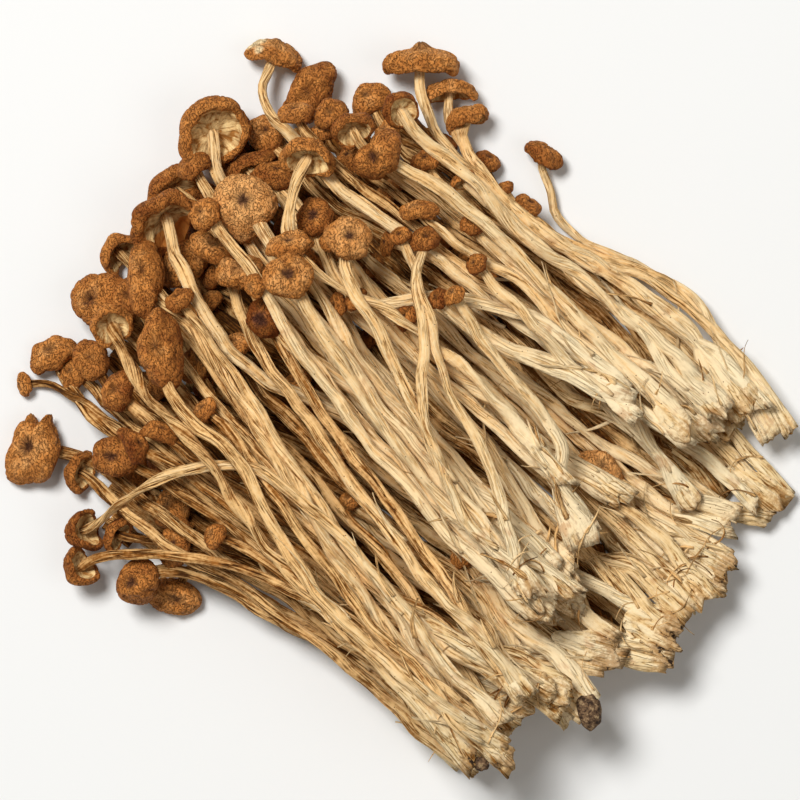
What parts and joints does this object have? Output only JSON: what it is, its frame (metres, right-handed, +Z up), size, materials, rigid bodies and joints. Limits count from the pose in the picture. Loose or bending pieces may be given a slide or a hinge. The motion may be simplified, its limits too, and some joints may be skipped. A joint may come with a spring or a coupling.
{
  "type": "dried mushroom bunch",
  "caption": "Fanned heap of dried tea tree mushrooms lying down: long flattened fibrous stems, small wrinkled caps at one end and cut roots at the other.",
  "frame": {"origin": "centre of the bunch's box in plan, on the surface that it lies on", "axes": "+X right, along the box's longest side; +Y to the back; +Z up. The caps lie to the left and the back, the cut roots to the right and the front"},
  "size_m": [0.2542, 0.238, 0.0586],
  "materials": {
    "dried_mushroom": "matte"
  },
  "bodies": {
    "root": {"hidden_01": "dried_mushroom", "hidden_02": "dried_mushroom", "hidden_03": "dried_mushroom", "hidden_04": "dried_mushroom", "hidden_05": "dried_mushroom", "hidden_06": "dried_mushroom", "hidden_07": "dried_mushroom", "hidden_08": "dried_mushroom", "hidden_09": "dried_mushroom", "far_right_low": "dried_mushroom", "right_low": "dried_mushroom", "orange_cap_low": "dried_mushroom", "short_root_low": "dried_mushroom", "soil_root_low": "dried_mushroom", "sharp_root_low": "dried_mushroom", "black_root": "dried_mushroom", "front_low": "dried_mushroom", "front_edge": "dried_mushroom", "left_torn": "dried_mushroom", "left_low": "dried_mushroom", "left_shade": "dried_mushroom", "left_round": "dried_mushroom", "orange_pair": "dried_mushroom", "back_right_dark": "dried_mushroom", "far_right_thin": "dried_mushroom", "top_left_brown": "dried_mushroom", "top_oval": "dried_mushroom", "top_gilled": "dried_mushroom", "mid_row": "dried_mushroom", "back_left_gills": "dried_mushroom", "left_gills": "dried_mushroom", "left_large": "dried_mushroom", "upper_gilled_lobe": "dried_mushroom", "top_torn": "dried_mushroom", "umbrella_trio": "dried_mushroom", "pale_curled": "dried_mushroom", "kidney_right": "dried_mushroom", "left_folded": "dried_mushroom", "left_kidney": "dried_mushroom", "upper_large_gills": "dried_mushroom", "dark_round": "dried_mushroom", "kidney_lobes": "dried_mushroom", "upper_wide_pale": "dried_mushroom", "crossing_right": "dried_mushroom", "dark_red": "dried_mushroom", "pale_ribbon": "dried_mushroom", "wide_ribbon": "dried_mushroom", "left_lobe": "dried_mushroom", "curly_long": "dried_mushroom", "upper_curl": "dried_mushroom", "face_up_large": "dried_mushroom", "flat_oval": "dried_mushroom", "round_middle": "dried_mushroom", "left_gill_stem": "dried_mushroom", "left_elongated": "dried_mushroom", "dotted_kidney": "dried_mushroom", "standing_pair": "dried_mushroom"}
  },
  "joints": []
}
